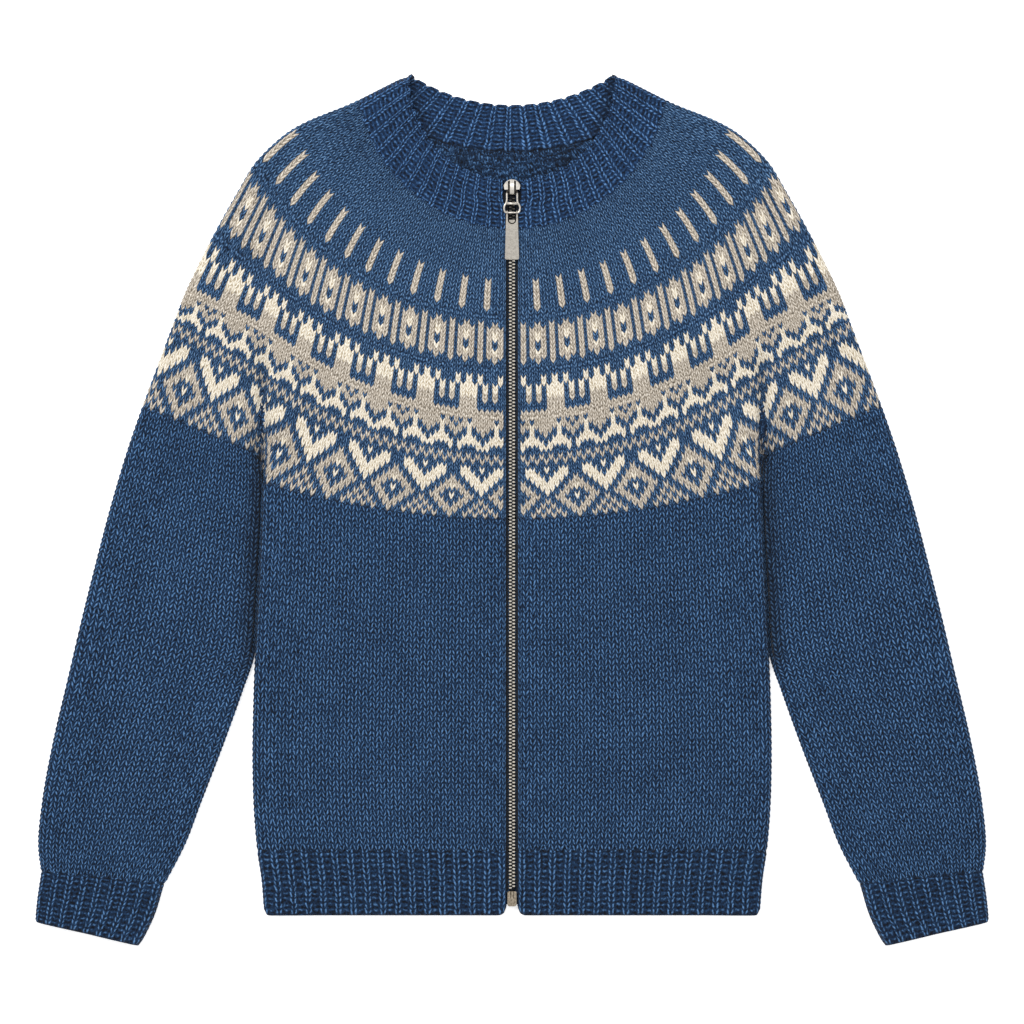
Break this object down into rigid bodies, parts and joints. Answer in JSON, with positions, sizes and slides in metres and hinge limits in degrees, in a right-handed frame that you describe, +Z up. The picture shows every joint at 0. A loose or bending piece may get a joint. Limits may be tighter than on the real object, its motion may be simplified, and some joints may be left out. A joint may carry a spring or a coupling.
{
  "type": "zip-up sweater",
  "caption": "Zip-up sweater with a colourwork round yoke, ribbed neckband, hem and cuffs, laid flat on its back with the zip closed.",
  "frame": {"origin": "middle of the garment's outline, on the surface that its back lies on", "axes": "+X across the garment towards the wearer's left sleeve, +Y from the hem to the collar, +Z up, out of the front"},
  "size_m": [0.8014, 0.7324, 0.0107],
  "materials": {
    "blue_wool": "heathered stockinette and rib",
    "yoke_wool": "stranded colourwork in blue, grey-beige and cream wool",
    "zip_tape": "woven black tape",
    "zip_teeth": "antique pale brass",
    "zip_metal": "satin nickel"
  },
  "bodies": {
    "garment": {"back": "blue_wool", "cuff_left": "blue_wool", "cuff_right": "blue_wool", "front_left": "blue_wool", "front_right": "blue_wool", "hem_back": "blue_wool", "hem_front_left": "blue_wool", "hem_front_right": "blue_wool", "neckband": "blue_wool", "sleeve_left": "blue_wool", "sleeve_right": "blue_wool", "yoke": "yoke_wool", "zip_box": "zip_metal", "zip_chain": "zip_teeth", "zip_slider": "zip_metal", "zip_tape_left": "zip_tape", "zip_tape_right": "zip_tape"},
    "link": {"pull_link": "zip_metal"},
    "tab": {"pull_tab": "zip_metal"}
  },
  "joints": [
    {"name": "link_swing", "type": "hinge", "parent": "garment", "child": "link", "pos_m": [0, 0.2674, 0.0083], "axis": [-1, 0, 0], "range_deg": [0, 110]},
    {"name": "tab_swing", "type": "hinge", "parent": "link", "child": "tab", "pos_m": [0, 0.2494, 0.0083], "axis": [-1, 0, 0], "range_deg": [0, 90]}
  ]
}
